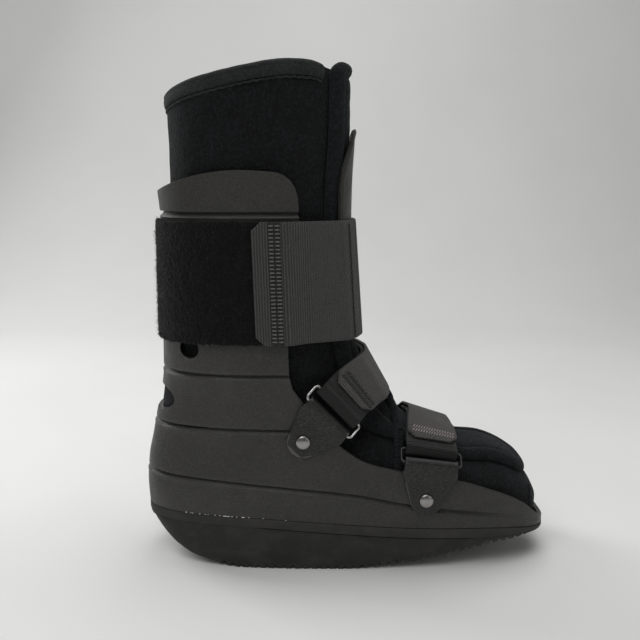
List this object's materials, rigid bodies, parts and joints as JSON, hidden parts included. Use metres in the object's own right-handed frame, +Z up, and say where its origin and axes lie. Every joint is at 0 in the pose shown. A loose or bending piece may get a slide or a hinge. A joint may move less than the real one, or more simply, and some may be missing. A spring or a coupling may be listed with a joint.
{
  "type": "medical walking boot",
  "caption": "Tall walking boot for an injured foot or ankle: hard shell on a rocker sole, padded liner, shin plate and hook-and-loop straps on rings.",
  "frame": {"origin": "on the floor at the middle of the boot's width, under the ankle, on a bar of the tread", "axes": "+X to the toe, +Z up the leg, -Y to the side whose straps are seen, floor at z = 0"},
  "size_m": [0.295, 0.1154, 0.351],
  "materials": {
    "shell": "moulded charcoal plastic with a fine grain",
    "outsole": "matte cross-ribbed rubber",
    "liner": "padded, near-black knit",
    "flap": "padded, near-black knit with rolled edges",
    "binding": "folded binding tape",
    "plate": "moulded charcoal plastic",
    "pile": "brushed loop pile",
    "webbing": "ribbed grey webbing",
    "tab": "folded dark tab",
    "ring": "worn steel wire",
    "rivet": "domed steel rivet"
  },
  "bodies": {
    "root": {"shell": "shell", "outsole": "outsole", "liner": "liner", "liner_front_flap": "flap", "liner_top_binding": "binding", "shin_plate": "plate", "calf_loop_strap": "pile", "calf_webbing_strap": "webbing", "calf_front_band": "webbing", "ankle_loop_strap": "pile", "ankle_webbing_strap": "webbing", "ankle_tab_near": "tab", "ankle_ring_near": "ring", "ankle_rivet_near": "rivet", "ankle_tab_far": "tab", "ankle_ring_far": "ring", "ankle_rivet_far": "rivet", "forefoot_loop_strap": "pile", "forefoot_webbing_strap": "webbing", "forefoot_tab_near": "tab", "forefoot_ring_near": "ring", "forefoot_rivet_near": "rivet", "forefoot_tab_far": "tab", "forefoot_ring_far": "ring", "forefoot_rivet_far": "rivet"}
  },
  "joints": []
}
